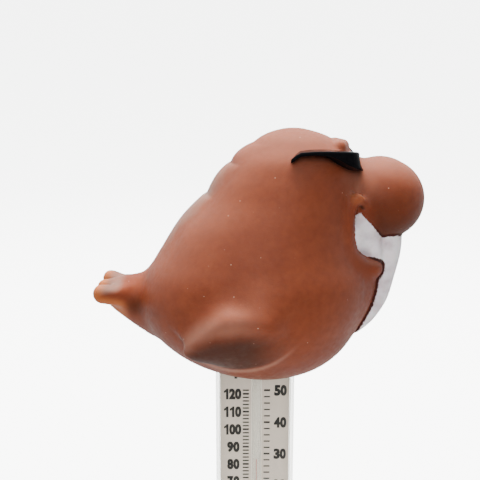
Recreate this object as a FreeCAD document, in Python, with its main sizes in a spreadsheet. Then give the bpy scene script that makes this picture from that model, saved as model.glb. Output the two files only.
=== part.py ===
# Floating pool thermometer: a hollow vinyl walrus with sunglasses on a flat clear stem.
# FreeCAD 1.1 macro, millimetres. +Z runs up the stem, +X is the way the walrus faces.
# The origin is the centre of the tether eye at the foot of the stem.
import FreeCAD, Part
import os
import Sketcher

Vector = FreeCAD.Vector
doc = FreeCAD.newDocument("pool_thermometer")
sheet = doc.addObject("Spreadsheet::Sheet", "sizes")

# Driving dimensions: alias and value.
DIMENSIONS = [
    # tether eye
    ("eye_radius", 2.0),
    ("lug_radius", 4.2),
    ("lug_thickness", 4.0),
    # clear case
    ("case_base", 5.0),
    ("case_width", 25.6),
    ("case_depth", 10.0),
    ("case_corner", 3.0),
    ("case_wall", 1.1),
    ("case_floor", 2.0),
    ("case_length", 113.0),
    ("rail_offset", 8.6),
    ("rail_width", 1.6),
    # closing plug and its flat gasket
    ("plug_depth", 5.0),
    ("plug_clearance", 0.1),
    ("cap_thickness", 1.6),
    ("gasket_thickness", 0.8),
    ("gasket_inset", 0.2),
    # scale card
    ("card_width", 23.0),
    ("card_thickness", 0.8),
    ("card_front", 1.2),
    ("card_base", 14.5),
    ("card_length", 97.0),
    ("notch_width", 6.4),
    ("notch_height", 20.5),
    # glass capillary, bulb and red spirit
    ("glass_offset", 0.6),
    ("glass_behind", -0.4),
    ("glass_radius", 1.5),
    ("bore_radius", 0.45),
    ("bulb_radius", 2.3),
    ("bulb_inside", 1.7),
    ("bulb_base", 19.5),
    ("bulb_neck", 33.5),
    ("bulb_shoulder", 1.6),
    ("glass_round", 0.8),
    ("glass_top", 104.0),
    ("bore_top", 101.0),
    ("spirit_radius", 0.4),
    ("scale_zero", 37.0),
    ("scale_step", 1.15),
    ("reading", 29.0),
    ("meniscus_length", 1.0),
    # clips, cushion and ballast
    ("clip_height", 2.6),
    ("clip_wall", 0.55),
    ("clip_gap", 0.05),
    ("foot_reach", 3.7),
    ("foot_thickness", 0.5),
    ("lower_clip", 36.2),
    ("upper_clip", 102.2),
    ("ballast_width", 15.0),
    ("ballast_depth", 6.4),
    ("ballast_height", 6.0),
    ("ballast_corner", 1.2),
    ("cushion_width", 5.6),
    ("cushion_depth", 4.4),
    ("cushion_corner", 1.0),
    # figure
    ("figure_base", 100.0),
    ("wall_shrink", 0.945),
    ("middle_height", 38.0),
    ("middle_reach", 2.0),
    ("snout_radius", 12.7),
    ("snout_reach", 38.9),
    ("snout_height", 59.4),
    ("lip_reach", 33.9),
    ("lip_height", 38.6),
    ("mouth_reach", 31.5),
    ("mouth_height", 47.5),
    ("tusk_spread", 6.5),
    ("flipper_reach", -7.5),
    ("flipper_spread", 31.0),
    ("flipper_height", 22.8),
    ("tail_reach", -30.0),
    ("tail_height", 28.6),
    ("tail_length", 15.0),
    ("tail_root", 10.0),
    ("tail_tip", 4.5),
    ("fluke_reach", -42.6),
    ("fluke_spread", 8.0),
    ("fluke_height", 30.2),
    # socket in the figure's underside
    ("slot_clearance", 0.1),
    ("cup_wall", 1.5),
    ("cup_height", 16.0),
    ("cup_roof", 1.6),
    ("flange_reach", 2.2),
    ("flange_thickness", 1.2),
    ("seat_depth", 7.2),
    ("collar_reach", 3.0),
    ("collar_height", 12.0),
    ("collar_corner", 5.0),
    ("cup_corner", 4.6),
    ("flange_corner", 6.7),
    ("room_corner", 3.1),
    ("glue_gap", 0.05),
    ("cut_over", 1.0),
    # sunglasses
    ("band_centre", 12.2),
    ("band_radius", 17.6),
    ("band_thickness", 2.1),
    ("band_top", 74.8),
    ("arm_height", 1.9),
    ("arm_angle", 98.0),
    ("front_back", 18.5),
    ("front_reach", 31.2),
    ("front_side", 17.2),
    ("front_corner", 9.0),
    ("front_height", 4.7),
    ("band_tilt", 3.0),
    ("nose_width", 9.0),
    ("nose_height", 2.3),
]

# Round horizontal stations of the walrus's body: name, height above the figure's base,
# centre along X and radius.
STATIONS = [
    ("seat", 2.0, 2.4, 6.5),
    ("sole", 4.2, 2.1, 14.2),
    ("groin", 9.0, 0.9, 23.0),
    ("belly", 14.5, -0.3, 29.2),
    ("hips", 21.0, -1.1, 33.9),
    ("waist", 29.0, -0.5, 36.3),
    ("chest", 36.0, 1.0, 35.6),
    ("ribs", 44.0, 2.1, 31.4),
    ("shoulders", 52.0, 4.1, 27.7),
    ("neck", 60.0, 7.6, 23.7),
    ("cheeks", 67.0, 10.3, 20.9),
    ("eyes", 72.0, 11.9, 18.3),
    ("brow", 76.0, 12.1, 13.8),
    ("crown", 79.2, 11.6, 8.4),
    ("top", 80.6, 11.4, 4.2),
]

# Stations of one tusk: height above the figure's base, centre along X,
# half thickness along X and half width along Y.
TUSK_STATIONS = [
    (50.0, 40.0, 4.5, 4.4),
    (44.5, 40.1, 4.4, 4.2),
    (36.0, 39.3, 3.8, 3.4),
    (27.0, 36.0, 3.0, 2.6),
    (20.0, 31.9, 1.6, 1.5),
    (18.0, 30.6, 0.7, 0.6),
]


def fill_sheet():
    rows = list(DIMENSIONS)
    for name, height, centre, radius in STATIONS:
        rows.append((name + "_height", height))
        rows.append((name + "_centre", centre))
        rows.append((name + "_radius", radius))
    for row, (alias, value) in enumerate(rows, start=1):
        sheet.set("A%d" % row, alias)
        sheet.set("B%d" % row, str(value))
        sheet.setAlias("B%d" % row, alias)
    doc.recompute()


def size(alias):
    return float(getattr(sheet, alias))


def bind(target, bindings):
    for path, expression in bindings.items():
        target.setExpression(path, expression)
    return target


# ---- PartDesign helpers -------------------------------------------------


def new_body(label):
    body = doc.addObject("PartDesign::Body", "body_" + label)
    body.Label = label
    return body


def new_sketch(body, name, role, lift="0"):
    sketch = body.newObject("Sketcher::SketchObject", body.Label + "_" + name)
    plane = [item for item in body.Origin.OriginFeatures if item.Role == role][0]
    sketch.AttachmentSupport = [(plane, "")]
    sketch.MapMode = "FlatFace"
    sketch.setExpression("AttachmentOffset.Base.z", lift)
    return sketch


def constrain(sketch, kind, *arguments):
    return sketch.addConstraint(Sketcher.Constraint(kind, *arguments))


def constrain_to(sketch, expression, kind, *arguments):
    number = constrain(sketch, kind, *arguments)
    sketch.setExpression("Constraints[%d]" % number, expression)


def draw_outline(sketch, points):
    """Closed polygon through points; returns the line numbers."""
    lines = []
    for index, start in enumerate(points):
        end = points[(index + 1) % len(points)]
        segment = Part.LineSegment(Vector(*start, 0), Vector(*end, 0))
        lines.append(sketch.addGeometry(segment))
    for index, line in enumerate(lines):
        constrain(sketch, "Coincident", line, 2, lines[(index + 1) % len(lines)], 1)
    return lines


def draw_rectangle(sketch, left, right, bottom, top):
    """Rectangle whose four sides are driven by expressions."""
    values = [sheet_value(text) for text in (left, right, bottom, top)]
    x0, x1, y0, y1 = values
    lines = draw_outline(sketch, [(x0, y0), (x1, y0), (x1, y1), (x0, y1)])
    for line in (lines[0], lines[2]):
        constrain(sketch, "Horizontal", line)
    for line in (lines[1], lines[3]):
        constrain(sketch, "Vertical", line)
    constrain_to(sketch, left, "DistanceX", -1, 1, lines[0], 1, x0)
    constrain_to(sketch, bottom, "DistanceY", -1, 1, lines[0], 1, y0)
    constrain_to(sketch, right, "DistanceX", -1, 1, lines[1], 2, x1)
    constrain_to(sketch, top, "DistanceY", -1, 1, lines[1], 2, y1)


def draw_circle(sketch, across, up, radius):
    centre = Vector(sheet_value(across), sheet_value(up), 0)
    circle = sketch.addGeometry(Part.Circle(centre, Vector(0, 0, 1), sheet_value(radius)))
    constrain_to(sketch, across, "DistanceX", -1, 1, circle, 3, centre.x)
    constrain_to(sketch, up, "DistanceY", -1, 1, circle, 3, centre.y)
    constrain_to(sketch, radius, "Radius", circle, sheet_value(radius))


def sheet_value(expression):
    """Present value of an expression in the sheet's cells."""
    return float(sheet.evalExpression(expression.replace("sizes.", "")))


def grow(body, name, sketch, length, midplane=False, downward=False):
    """Pad the sketch by the expression length."""
    pad = body.newObject("PartDesign::Pad", body.Label + "_" + name)
    pad.Profile = sketch
    pad.Midplane = midplane
    pad.Reversed = downward
    pad.setExpression("Length", length)
    doc.recompute()
    return pad


def carve(body, name, sketch, length, midplane=False, upward=False):
    """Pocket the sketch by the expression length, and check that it cuts."""
    before = body.Shape.Volume
    pocket = body.newObject("PartDesign::Pocket", body.Label + "_" + name)
    pocket.Profile = sketch
    pocket.Midplane = midplane
    pocket.Reversed = upward
    pocket.setExpression("Length", length)
    doc.recompute()
    if not body.Shape.Volume < before:
        raise RuntimeError(pocket.Name + " cuts nothing")
    return pocket


def turn(body, name, sketch):
    """Revolve the sketch a full turn about its own vertical axis."""
    revolution = body.newObject("PartDesign::Revolution", body.Label + "_" + name)
    revolution.Profile = sketch
    revolution.ReferenceAxis = (sketch, ["V_Axis"])
    revolution.Angle = 360
    doc.recompute()
    return revolution


def upright_edges(shape):
    """Names of the straight edges that run along Z."""
    names = []
    for number, edge in enumerate(shape.Edges, start=1):
        straight = edge.Curve.TypeId == "Part::GeomLine"
        if straight and abs(edge.tangentAt(edge.FirstParameter).z) > 0.999:
            names.append("Edge%d" % number)
    return names


def round_upright_edges(body, feature, radius, keep=lambda edge: True):
    names = []
    for name in upright_edges(feature.Shape):
        if keep(feature.Shape.getElement(name)):
            names.append(name)
    fillet = body.newObject("PartDesign::Fillet", body.Label + "_round")
    fillet.Base = (feature, names)
    fillet.setExpression("Radius", radius)
    doc.recompute()
    return fillet


def rounded_block(body, name, half_width, half_depth, base, height, radius):
    """Upright rounded block centred on the stem."""
    sketch = new_sketch(body, name + "_plan", "XY_Plane", base)
    draw_rectangle(sketch, "-(%s)" % half_width, half_width, "-(%s)" % half_depth, half_depth)
    pad = grow(body, name, sketch, height)
    return round_upright_edges(body, pad, radius)


# ---- the stem -----------------------------------------------------------

CASE_TOP = "sizes.case_base + sizes.case_length"
INNER_WIDTH = "sizes.case_width / 2 - sizes.case_wall"
INNER_DEPTH = "sizes.case_depth / 2 - sizes.case_wall"
INNER_CORNER = "sizes.case_corner - sizes.case_wall"
LEVEL = "sizes.scale_zero + sizes.scale_step * sizes.reading"


def carve_rounded(body, name, half_width, half_depth, top, depth, radius):
    """Rounded pocket cut straight down from the height top."""
    sketch = new_sketch(body, name + "_plan", "XY_Plane", top)
    draw_rectangle(sketch, "-(%s)" % half_width, half_width, "-(%s)" % half_depth, half_depth)
    pocket = carve(body, name, sketch, depth)
    inside = sheet_value(half_width) + 0.01
    deep = sheet_value(half_depth) + 0.01

    def in_pocket(edge):
        point = edge.Vertexes[0].Point
        return abs(point.x) < inside and abs(point.y) < deep

    fillet = body.newObject("PartDesign::Fillet", body.Label + "_" + name + "_round")
    names = [n for n in upright_edges(pocket.Shape) if in_pocket(pocket.Shape.getElement(n))]
    fillet.Base = (pocket, names)
    fillet.setExpression("Radius", radius)
    doc.recompute()
    return fillet


def make_case_tube():
    """Clear case: a flat tube with a floor, two card rails and the tether eye."""
    body = new_body("case_tube")
    rounded_block(body, "wall", "sizes.case_width / 2", "sizes.case_depth / 2",
                  "sizes.case_base", "sizes.case_length", "sizes.case_corner")
    carve_rounded(body, "cavity", INNER_WIDTH, INNER_DEPTH, CASE_TOP,
                  "sizes.case_length - sizes.case_floor", INNER_CORNER)
    for side, name in ((-1, "left_rail"), (1, "right_rail")):
        near = "%d * sizes.rail_offset - sizes.rail_width / 2" % side
        far = "%d * sizes.rail_offset + sizes.rail_width / 2" % side
        plan = new_sketch(body, name + "_plan", "XY_Plane", "sizes.case_base + sizes.case_floor / 2")
        draw_rectangle(plan, near, far, "sizes.card_front + sizes.card_thickness",
                       "sizes.case_depth / 2 - sizes.case_wall / 2")
        grow(body, name, plan, "sizes.case_length - sizes.case_floor / 2 - sizes.plug_depth - sizes.cut_over")
    web = new_sketch(body, "web_front", "XZ_Plane")
    draw_rectangle(web, "-sizes.lug_radius", "sizes.lug_radius", "0",
                   "sizes.case_base + sizes.case_floor / 2")
    grow(body, "web", web, "sizes.lug_thickness", midplane=True)
    lug = new_sketch(body, "lug_front", "XZ_Plane")
    draw_circle(lug, "0", "0", "sizes.lug_radius")
    grow(body, "lug", lug, "sizes.lug_thickness", midplane=True)
    eye = new_sketch(body, "eye_front", "XZ_Plane")
    draw_circle(eye, "0", "0", "sizes.eye_radius")
    carve(body, "eye", eye, "2 * sizes.lug_thickness", midplane=True)
    return body


def make_case_cap():
    """Plug that closes the top of the case, with a flange over its rim."""
    body = new_body("case_cap")
    rounded_block(body, "flange", "sizes.case_width / 2", "sizes.case_depth / 2",
                  CASE_TOP + " + sizes.gasket_thickness", "sizes.cap_thickness", "sizes.case_corner")
    plan = new_sketch(body, "plug_plan", "XY_Plane", CASE_TOP + " - sizes.plug_depth")
    half_width = INNER_WIDTH + " - sizes.plug_clearance"
    half_depth = INNER_DEPTH + " - sizes.plug_clearance"
    draw_rectangle(plan, "-(%s)" % half_width, half_width, "-(%s)" % half_depth, half_depth)
    plug = grow(body, "plug", plan, "sizes.plug_depth + sizes.gasket_thickness + sizes.cap_thickness / 2")
    limit = sheet_value(half_width) + 0.01

    def on_plug(edge):
        return abs(edge.Vertexes[0].Point.x) < limit

    round_upright_edges(body, plug, INNER_CORNER, on_plug)
    return body


def make_cap_gasket():
    """Flat silicone ring between the case's rim and the cap's flange."""
    body = new_body("cap_gasket")
    rounded_block(body, "ring", "sizes.case_width / 2 - sizes.gasket_inset",
                  "sizes.case_depth / 2 - sizes.gasket_inset", CASE_TOP, "sizes.gasket_thickness",
                  "sizes.case_corner - sizes.gasket_inset")
    carve_rounded(body, "hole", INNER_WIDTH, INNER_DEPTH, CASE_TOP + " + sizes.gasket_thickness",
                  "sizes.gasket_thickness", INNER_CORNER)
    return body


def make_scale_card():
    """Flat plastic card with a notch that leaves room for the bulb."""
    body = new_body("scale_card")
    back = "sizes.card_front + sizes.card_thickness"
    plan = new_sketch(body, "plan", "XY_Plane", "sizes.card_base")
    draw_rectangle(plan, "-sizes.card_width / 2", "sizes.card_width / 2", "sizes.card_front", back)
    grow(body, "board", plan, "sizes.card_length")
    notch = new_sketch(body, "notch_plan", "XY_Plane", "sizes.card_base + sizes.notch_height")
    draw_rectangle(notch, "sizes.glass_offset - sizes.notch_width / 2",
                   "sizes.glass_offset + sizes.notch_width / 2",
                   "sizes.card_front - sizes.cut_over", back + " + sizes.cut_over")
    carve(body, "notch", notch, "sizes.notch_height")
    return body


def place_on_glass_axis(body):
    """Move a body turned about its own Z axis onto the capillary's axis."""
    return bind(body, {"Placement.Base.x": "sizes.glass_offset", "Placement.Base.y": "sizes.glass_behind"})


def turned_body(label, points):
    """Body turned about Z from a closed outline of (radius, height) points."""
    body = new_body(label)
    outline = new_sketch(body, "outline", "XZ_Plane")
    draw_outline(outline, points)
    turn(body, "turned", outline)
    return place_on_glass_axis(body)


def make_glass_tube():
    """Capillary with its bulb, hollow inside, closed at the top."""
    outside = size("glass_radius")
    bore = size("bore_radius")
    bulb = size("bulb_radius")
    room = size("bulb_inside")
    base = size("bulb_base")
    neck = size("bulb_neck")
    wall = bulb - room
    shoulder = size("bulb_shoulder")
    tip = size("glass_round")
    points = [
        (0, base), (bulb - tip, base), (bulb, base + tip), (bulb, neck - shoulder),
        (outside, neck), (outside, size("glass_top") - tip), (outside - tip, size("glass_top")),
        (0, size("glass_top")), (0, size("bore_top")), (bore, size("bore_top")),
        (bore, neck), (room, neck - shoulder), (room, base + wall), (0, base + wall),
    ]
    return turned_body("glass_tube", points)


def make_bulb_liquid():
    """Red spirit that fills the bulb up to the capillary's mouth."""
    room = size("bulb_inside")
    bore = size("bore_radius")
    neck = size("bulb_neck")
    floor = size("bulb_base") + size("bulb_radius") - room
    shoulder = size("bulb_shoulder")
    points = [(0, floor), (room, floor), (room, neck - shoulder), (bore, neck), (0, neck)]
    return turned_body("bulb_liquid", points)


def make_spirit_rod(label, base, height):
    """Round length of spirit in the bore."""
    rod = doc.addObject("Part::Cylinder", "rod_" + label)
    rod.Label = label
    return bind(rod, {
        "Radius": "sizes.spirit_radius",
        "Height": height,
        "Placement.Base.x": "sizes.glass_offset",
        "Placement.Base.y": "sizes.glass_behind",
        "Placement.Base.z": base,
    })


def make_column_thread():
    return make_spirit_rod("column_thread", "sizes.bulb_neck",
                           LEVEL + " - sizes.meniscus_length - sizes.bulb_neck")


def make_column_top():
    return make_spirit_rod("column_top", LEVEL + " - sizes.meniscus_length", "sizes.meniscus_length")


def make_tube_clip(label, height_cell):
    """Saddle over the capillary with two feet on the card's front."""
    body = new_body(label)
    plan = new_sketch(body, "plan", "XY_Plane", "sizes.%s - sizes.clip_height / 2" % height_cell)
    middle = size("glass_offset")
    axis = size("glass_behind")
    inner = size("glass_radius") + size("clip_gap")
    outer = inner + size("clip_wall")
    foot = size("card_front")
    step = foot - size("foot_thickness")
    reach = size("foot_reach")
    left = [(-outer, axis), (-outer, step), (-reach, step), (-reach, foot), (-inner, foot), (-inner, axis)]
    right = [(-across, depth) for across, depth in reversed(left)]
    for side in (left, right):
        for start, end in zip(side, side[1:]):
            first = Vector(middle + start[0], start[1], 0)
            second = Vector(middle + end[0], end[1], 0)
            plan.addGeometry(Part.LineSegment(first, second))
    for radius in (inner, outer):
        ends = (Vector(middle - radius, axis, 0), Vector(middle + radius, axis, 0))
        plan.addGeometry(Part.Arc(ends[0], Vector(middle, axis - radius, 0), ends[1]))
    grow(body, "saddle", plan, "sizes.clip_height")
    return body


def make_ballast_weight():
    """Steel block on the case's floor that keeps the stem hanging down."""
    body = new_body("ballast_weight")
    rounded_block(body, "block", "sizes.ballast_width / 2", "sizes.ballast_depth / 2",
                  "sizes.case_base + sizes.case_floor", "sizes.ballast_height", "sizes.ballast_corner")
    return body


def make_bulb_cushion():
    """Soft pad between the ballast and the glass bulb."""
    body = new_body("bulb_cushion")
    base = "sizes.case_base + sizes.case_floor + sizes.ballast_height"
    plan = new_sketch(body, "plan", "XY_Plane", base)
    draw_rectangle(plan, "sizes.glass_offset - sizes.cushion_width / 2",
                   "sizes.glass_offset + sizes.cushion_width / 2",
                   "sizes.glass_behind - sizes.cushion_depth / 2",
                   "sizes.glass_behind + sizes.cushion_depth / 2")
    pad = grow(body, "pad", plan, "sizes.bulb_base - (%s)" % base)
    round_upright_edges(body, pad, "sizes.cushion_corner")
    return body


# ---- the figure ---------------------------------------------------------


def ellipse_at(name, values):
    """Horizontal ellipse from expressions: reach, side, height, length, width."""
    ring = doc.addObject("Part::Ellipse", name)
    return bind(ring, {
        "MajorRadius": values["length"],
        "MinorRadius": values["width"],
        "Placement.Base.x": values["reach"],
        "Placement.Base.y": values.get("side", "0"),
        "Placement.Base.z": values["height"],
    })


def loft_through(name, rings):
    loft = doc.addObject("Part::Loft", name)
    loft.Sections = rings
    loft.Solid = True
    loft.Ruled = False
    return loft


def body_loft(name, shrink):
    """The walrus's body through its round stations, shrunk about its middle.

    The stations start 45 degrees round, so that the loft's seam clears the muzzle and flippers.
    """
    rings = []
    for station, *_ in STATIONS:
        height = "(sizes.%s_height - sizes.middle_height) * %s" % (station, shrink)
        reach = "(sizes.%s_centre - sizes.middle_reach) * %s" % (station, shrink)
        ring = doc.addObject("Part::Circle", name + "_" + station)
        ring.Placement.Rotation = FreeCAD.Rotation(Vector(0, 0, 1), 45)
        rings.append(bind(ring, {
            "Radius": "sizes.%s_radius * %s" % (station, shrink),
            "Placement.Base.x": reach + " + sizes.middle_reach",
            "Placement.Base.z": height + " + sizes.middle_height + sizes.figure_base",
        }))
    return loft_through(name, rings)


def tusk_loft(side, name):
    rings = []
    for number, (height, centre, thick, wide) in enumerate(TUSK_STATIONS):
        rings.append(ellipse_at("%s_%d" % (name, number), {
            "length": str(thick),
            "width": str(wide),
            "reach": str(centre),
            "side": "%d * sizes.tusk_spread" % side,
            "height": "sizes.figure_base + %g" % height,
        }))
    return loft_through(name, rings)


def ball(name, reach, side, height, half_sizes, turns=(0.0, 0.0, 0.0)):
    """Ellipsoid with half sizes along its own X, Y and Z, turned by yaw, pitch and roll."""
    solid = doc.addObject("Part::Ellipsoid", name)
    solid.Radius2 = half_sizes[0]
    solid.Radius3 = half_sizes[1]
    solid.Radius1 = half_sizes[2]
    solid.Angle1 = -90
    solid.Angle2 = 90
    solid.Placement.Rotation = FreeCAD.Rotation(*turns)
    return bind(solid, {
        "Placement.Base.x": reach,
        "Placement.Base.y": side,
        "Placement.Base.z": "sizes.figure_base + " + height,
    })


def stem_block(name, reach, base, height, corner):
    """Upright rounded block that follows the stem's outline at a distance."""
    block = doc.addObject("Part::Box", name + "_block")
    bind(block, {
        "Length": "sizes.case_width + 2 * (%s)" % reach,
        "Width": "sizes.case_depth + 2 * (%s)" % reach,
        "Height": height,
        "Placement.Base.x": "-sizes.case_width / 2 - (%s)" % reach,
        "Placement.Base.y": "-sizes.case_depth / 2 - (%s)" % reach,
        "Placement.Base.z": base,
    })
    doc.recompute()
    rounded = doc.addObject("Part::Fillet", name)
    rounded.Base = block
    numbers = [int(edge[4:]) for edge in upright_edges(block.Shape)]
    radius = size(corner)
    rounded.Edges = [(number, radius, radius) for number in numbers]
    return rounded


def cut(name, base, tool):
    result = doc.addObject("Part::Cut", name)
    result.Base = base
    result.Tool = tool
    return result


def fuse(name, shapes):
    result = doc.addObject("Part::MultiFuse", name)
    result.Shapes = shapes
    return result


# Half sizes (mm) and angles (degrees) of the figure's rounded lumps. A flipper's are through,
# along and up the leaf, which leans outward at its upper edge and rises towards the front.
LIP_HALF = (5.5, 9.0, 3.2)
LIP_PITCH = 12.0
MOUTH_HALF = (7.0, 10.5, 9.5)
FLIPPER_HALF = (4.0, 14.0, 10.5)
FLIPPER_LEAN = 30.0
FLIPPER_PITCH = 10.0
FLUKE_HALF = (8.0, 5.6, 3.3)
FLUKE_SPLAY = 28.0

CUP_REACH = "sizes.slot_clearance + sizes.cup_wall"
FLANGE_REACH = CUP_REACH + " + sizes.flange_reach"
FLANGE_TOP = "sizes.figure_base + sizes.seat_depth"


def make_outer_form():
    """Outside of the vinyl walrus as one solid."""
    trunk = body_loft("trunk", "1")
    snout = doc.addObject("Part::Sphere", "snout")
    bind(snout, {
        "Radius": "sizes.snout_radius",
        "Placement.Base.x": "sizes.snout_reach",
        "Placement.Base.z": "sizes.figure_base + sizes.snout_height",
    })
    lip = ball("lip", "sizes.lip_reach", "0", "sizes.lip_height", LIP_HALF, (0.0, LIP_PITCH, 0.0))
    mouth = ball("mouth", "sizes.mouth_reach", "0", "sizes.mouth_height", MOUTH_HALF)
    tail = doc.addObject("Part::Cone", "tail")
    tail.Placement.Rotation = FreeCAD.Rotation(Vector(0, 0, 1), Vector(-1, 0, 0))
    bind(tail, {
        "Radius1": "sizes.tail_root",
        "Radius2": "sizes.tail_tip",
        "Height": "sizes.tail_length",
        "Placement.Base.x": "sizes.tail_reach",
        "Placement.Base.z": "sizes.figure_base + sizes.tail_height",
    })
    parts = [trunk, snout, lip, mouth, tail]
    for side, name in ((-1, "near"), (1, "far")):
        parts.append(tusk_loft(side, name + "_tusk"))
        parts.append(ball(name + "_flipper", "sizes.flipper_reach", "%d * sizes.flipper_spread" % side,
                          "sizes.flipper_height", FLIPPER_HALF,
                          (side * 90.0, FLIPPER_LEAN, -side * FLIPPER_PITCH)))
        parts.append(ball(name + "_fluke", "sizes.fluke_reach", "%d * sizes.fluke_spread" % side,
                          "sizes.fluke_height", FLUKE_HALF, (180.0 - side * FLUKE_SPLAY, 0.0, 0.0)))
    return fuse("outer_form", parts)


def make_figure_shell(outer):
    """Hollow vinyl: the outer form less its inside, with a thick neck at the opening."""
    inside = body_loft("inside", "sizes.wall_shrink")
    hollow = cut("hollow_form", outer, inside)
    neck_block = stem_block("neck_block", FLANGE_REACH + " + sizes.collar_reach",
                            "sizes.figure_base", "sizes.collar_height", "collar_corner")
    neck = doc.addObject("Part::MultiCommon", "neck_ring")
    neck.Shapes = [neck_block, outer]
    closed = fuse("necked_form", [hollow, neck])
    opening = stem_block("opening", CUP_REACH + " + sizes.glue_gap", "sizes.figure_base - sizes.cut_over",
                         "sizes.collar_height + 4 * sizes.cut_over", "cup_corner")
    seat = stem_block("flange_seat", FLANGE_REACH + " + 2 * sizes.glue_gap",
                      "sizes.figure_base - sizes.cut_over", "sizes.seat_depth + sizes.cut_over",
                      "flange_corner")
    shell = cut("shell_cut", closed, fuse("neck_cutter", [opening, seat]))
    shell.Label = "figure_shell"
    return shell


def make_socket_cup():
    """Flanged cup glued into the figure's neck; the top of the stem slides up into it."""
    cup = stem_block("cup_outside", CUP_REACH, FLANGE_TOP + " - sizes.flange_thickness",
                     "sizes.cup_height + sizes.cup_roof", "cup_corner")
    flange = stem_block("cup_flange", FLANGE_REACH, FLANGE_TOP + " - sizes.flange_thickness",
                        "sizes.flange_thickness", "flange_corner")
    room = stem_block("cup_room", "sizes.slot_clearance",
                      FLANGE_TOP + " - sizes.flange_thickness - sizes.cut_over",
                      "sizes.cup_height + sizes.cut_over", "room_corner")
    socket = cut("cup_cut", fuse("cup_solid", [cup, flange]), room)
    socket.Label = "socket_cup"
    return socket


def make_arms(body, base, height):
    """Slim band around the head, open at the back."""
    plan = new_sketch(body, "arms_plan", "XY_Plane", base)
    centre = size("band_centre")
    outer = size("band_radius")
    inner = outer - size("band_thickness")
    turned = FreeCAD.Rotation(Vector(0, 0, 1), size("arm_angle")).multVec(Vector(1, 0, 0))
    corners = []
    for radius in (outer, inner):
        low = Vector(centre + radius * turned.x, -radius * turned.y, 0)
        high = Vector(centre + radius * turned.x, radius * turned.y, 0)
        plan.addGeometry(Part.Arc(low, Vector(centre + radius, 0, 0), high))
        corners.append((low, high))
    plan.addGeometry(Part.LineSegment(corners[0][0], corners[1][0]))
    plan.addGeometry(Part.LineSegment(corners[0][1], corners[1][1]))
    return grow(body, "arms", plan, height)


def make_sunglasses(outer):
    """One-piece black sunglasses: a deep squared front and two slim arms, fitted to the head."""
    body = new_body("band")
    top = "sizes.figure_base + sizes.band_top"
    plan = new_sketch(body, "front_plan", "XY_Plane", top + " - sizes.front_height")
    draw_rectangle(plan, "sizes.front_back", "sizes.front_reach", "-sizes.front_side", "sizes.front_side")
    front = grow(body, "front", plan, "sizes.front_height")
    limit = size("front_reach") - size("cut_over")
    round_upright_edges(body, front, "sizes.front_corner", lambda edge: edge.Vertexes[0].Point.x > limit)
    make_arms(body, top + " - sizes.arm_height", "sizes.arm_height")
    nose = new_sketch(body, "nose_side", "YZ_Plane", "sizes.front_reach + sizes.cut_over")
    draw_rectangle(nose, "-sizes.nose_width / 2", "sizes.nose_width / 2",
                   top + " - sizes.front_height - sizes.cut_over",
                   top + " - sizes.front_height + sizes.nose_height")
    carve(body, "nose", nose, "sizes.front_reach - sizes.front_back")
    pivot = Vector(size("band_centre"), 0, size("figure_base") + size("band_top"))
    tilt = FreeCAD.Rotation(Vector(0, 1, 0), size("band_tilt"))
    body.Placement = FreeCAD.Placement(Vector(), tilt, pivot)
    fitted = cut("band_fitted", body, outer)
    fitted.Label = "sunglasses"
    return fitted


# ---- build, check and write ----------------------------------------------


def check(parts):
    for item in doc.Objects:
        if "Invalid" in item.State or "Error" in item.State:
            raise RuntimeError(item.Name + " failed: " + str(item.State))
    for part in parts:
        if part.Shape.isNull() or not part.Shape.isValid():
            raise RuntimeError(part.Label + " has no valid shape")


def main():
    fill_sheet()
    outer = make_outer_form()
    parts = [
        make_case_tube(),
        make_case_cap(),
        make_cap_gasket(),
        make_scale_card(),
        make_glass_tube(),
        make_bulb_liquid(),
        make_column_thread(),
        make_column_top(),
        make_tube_clip("lower_tube_clip", "lower_clip"),
        make_tube_clip("upper_tube_clip", "upper_clip"),
        make_ballast_weight(),
        make_bulb_cushion(),
        make_figure_shell(outer),
        make_socket_cup(),
        make_sunglasses(outer),
    ]
    doc.recompute()
    check(parts)
    os.makedirs("parts", exist_ok=True)
    for part in parts:
        part.Shape.exportStep("parts/%s.step" % part.Label)
        print("%-16s %9.1f mm3 %d solid(s)" % (part.Label, part.Shape.Volume, len(part.Shape.Solids)))


main()
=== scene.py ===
"""Looks of the floating walrus pool thermometer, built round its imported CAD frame."""

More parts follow.
